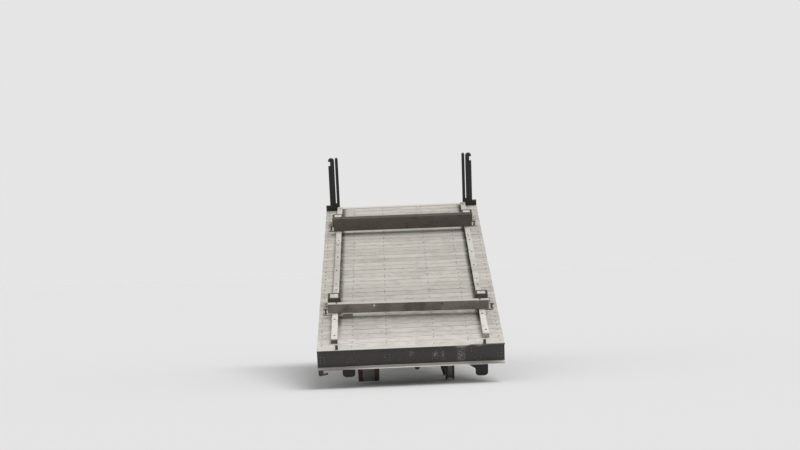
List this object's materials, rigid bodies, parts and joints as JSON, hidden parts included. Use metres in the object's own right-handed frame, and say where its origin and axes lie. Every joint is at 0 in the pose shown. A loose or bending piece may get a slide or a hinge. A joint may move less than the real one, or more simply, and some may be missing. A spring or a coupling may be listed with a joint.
{
  "type": "funicular platform car",
  "caption": "Funicular car for road vehicles: a level timber deck with curbs and chock beams on a wedge-shaped steel underframe with rail wheels and a rail brake.",
  "frame": {"origin": "centre of the bounding box's underside, which is at the flange tips of the wheels", "axes": "+Z square to the rails, +Y along the rails downhill, +X to the right when looking downhill; the deck, level on the real slope, climbs towards +Y"},
  "size_m": [2.96, 7.0316, 4.0475],
  "materials": {
    "deck_timber": "weathered, bare",
    "curb_timber": "weathered, bare",
    "chock_timber": "weathered, grey",
    "dark_timber": "oiled, dark",
    "headstock_steel": "worn paint, rust",
    "frame_steel": "worn paint, oily dust",
    "black_iron": "black paint",
    "fitting_iron": "rusty",
    "cast_iron": "greasy",
    "axle_steel": "dull",
    "wheel_steel": "rusty web, polished tread",
    "brake_steel": "greased"
  },
  "bodies": {
    "car_frame": {"axle_boxes_front": "cast_iron", "axle_boxes_rear": "cast_iron", "brake_frame": "cast_iron", "brake_jaws": "brake_steel", "brake_screw": "brake_steel", "centre_sill_left": "frame_steel", "centre_sill_right": "frame_steel", "chock_beam_front": "chock_timber", "chock_beam_rear": "dark_timber", "cross_bearers": "frame_steel", "curb_clamp_front_left": "fitting_iron", "curb_clamp_front_right": "fitting_iron", "curb_clamp_rear_left": "fitting_iron", "curb_clamp_rear_right": "fitting_iron", "curb_left": "curb_timber", "curb_right": "curb_timber", "deck_boards": "deck_timber", "diagonal_1_left": "frame_steel", "diagonal_1_right": "frame_steel", "diagonal_2_left": "frame_steel", "diagonal_2_right": "frame_steel", "headstock_front": "headstock_steel", "headstock_rear": "headstock_steel", "knee_bracket_left": "black_iron", "knee_bracket_right": "black_iron", "knee_strut_2_left": "frame_steel", "knee_strut_2_right": "frame_steel", "knee_strut_3_left": "frame_steel", "knee_strut_3_right": "frame_steel", "lower_chord_left": "frame_steel", "lower_chord_right": "frame_steel", "rear_rakers": "frame_steel", "rope_anchor": "fitting_iron", "rope_socket": "fitting_iron", "side_sill_left": "frame_steel", "side_sill_right": "frame_steel", "stanchion_left": "black_iron", "stanchion_right": "black_iron", "stringer_left": "frame_steel", "stringer_right": "frame_steel", "trestle_1": "frame_steel", "trestle_2": "frame_steel", "trestle_3": "frame_steel"},
    "wheelset_front": {"axle_front": "axle_steel", "wheels_front": "wheel_steel"},
    "wheelset_rear": {"axle_rear": "axle_steel", "wheels_rear": "wheel_steel"}
  },
  "joints": [
    {"name": "front_wheels_turn", "type": "hinge", "parent": "car_frame", "child": "wheelset_front", "pos_m": [0, -2.4158, 0.326], "axis": [1, 0, 0], "continuous": true},
    {"name": "rear_wheels_turn", "type": "hinge", "parent": "car_frame", "child": "wheelset_rear", "pos_m": [0, 2.0842, 0.326], "axis": [1, 0, 0], "continuous": true}
  ]
}
